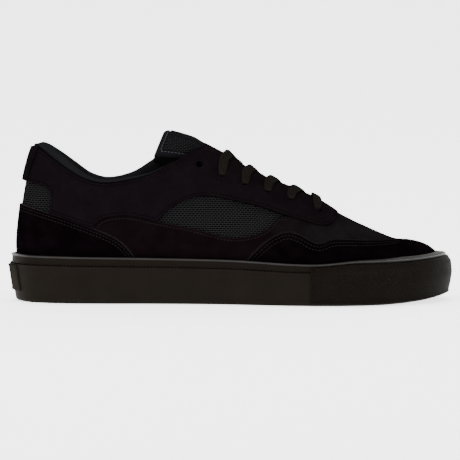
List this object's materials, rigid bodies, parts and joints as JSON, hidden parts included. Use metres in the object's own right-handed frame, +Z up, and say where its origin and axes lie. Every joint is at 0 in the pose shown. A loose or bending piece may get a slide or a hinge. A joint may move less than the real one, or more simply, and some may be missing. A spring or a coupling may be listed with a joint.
{
  "type": "skateboarding shoe",
  "caption": "Low-top lace-up skate shoe for the right foot: suede overlays and mesh windows on a hollow lasted upper, padded collar and tongue, flat rubber sole with a tall side wall.",
  "frame": {"origin": "on the floor under the middle of the shoe's bounding box", "axes": "+X towards the toe, +Y towards the medial side, +Z up from the floor"},
  "size_m": [0.3022, 0.1068, 0.1161],
  "materials": {
    "sole_rubber": "matt moulded rubber",
    "foxing_rubber": "satin calendered rubber",
    "mesh_cloth": "open spacer mesh",
    "black_suede": "deep black suede",
    "vamp_nubuck": "fine black nubuck",
    "quarter_nubuck": "fine black nubuck",
    "lining_knit": "padded knit lining",
    "tongue_cloth": "padded mesh and woven cloth",
    "insole_cloth": "brushed cloth over foam",
    "lace_braid": "flat braided lace"
  },
  "bodies": {
    "root": {"outsole": "sole_rubber", "foxing_tape": "foxing_rubber", "toe_bumper": "foxing_rubber", "heel_label": "foxing_rubber", "upper": "mesh_cloth", "heel_counter": "black_suede", "toe_mudguard": "black_suede", "vamp": "vamp_nubuck", "quarter_lateral": "quarter_nubuck", "quarter_medial": "quarter_nubuck", "heel_tab": "quarter_nubuck", "collar_lining": "lining_knit", "tongue": "tongue_cloth", "insole": "insole_cloth", "lace_bar": "lace_braid", "lace_crossing_1": "lace_braid", "lace_crossing_2": "lace_braid", "lace_crossing_3": "lace_braid", "lace_crossing_4": "lace_braid"}
  },
  "joints": []
}
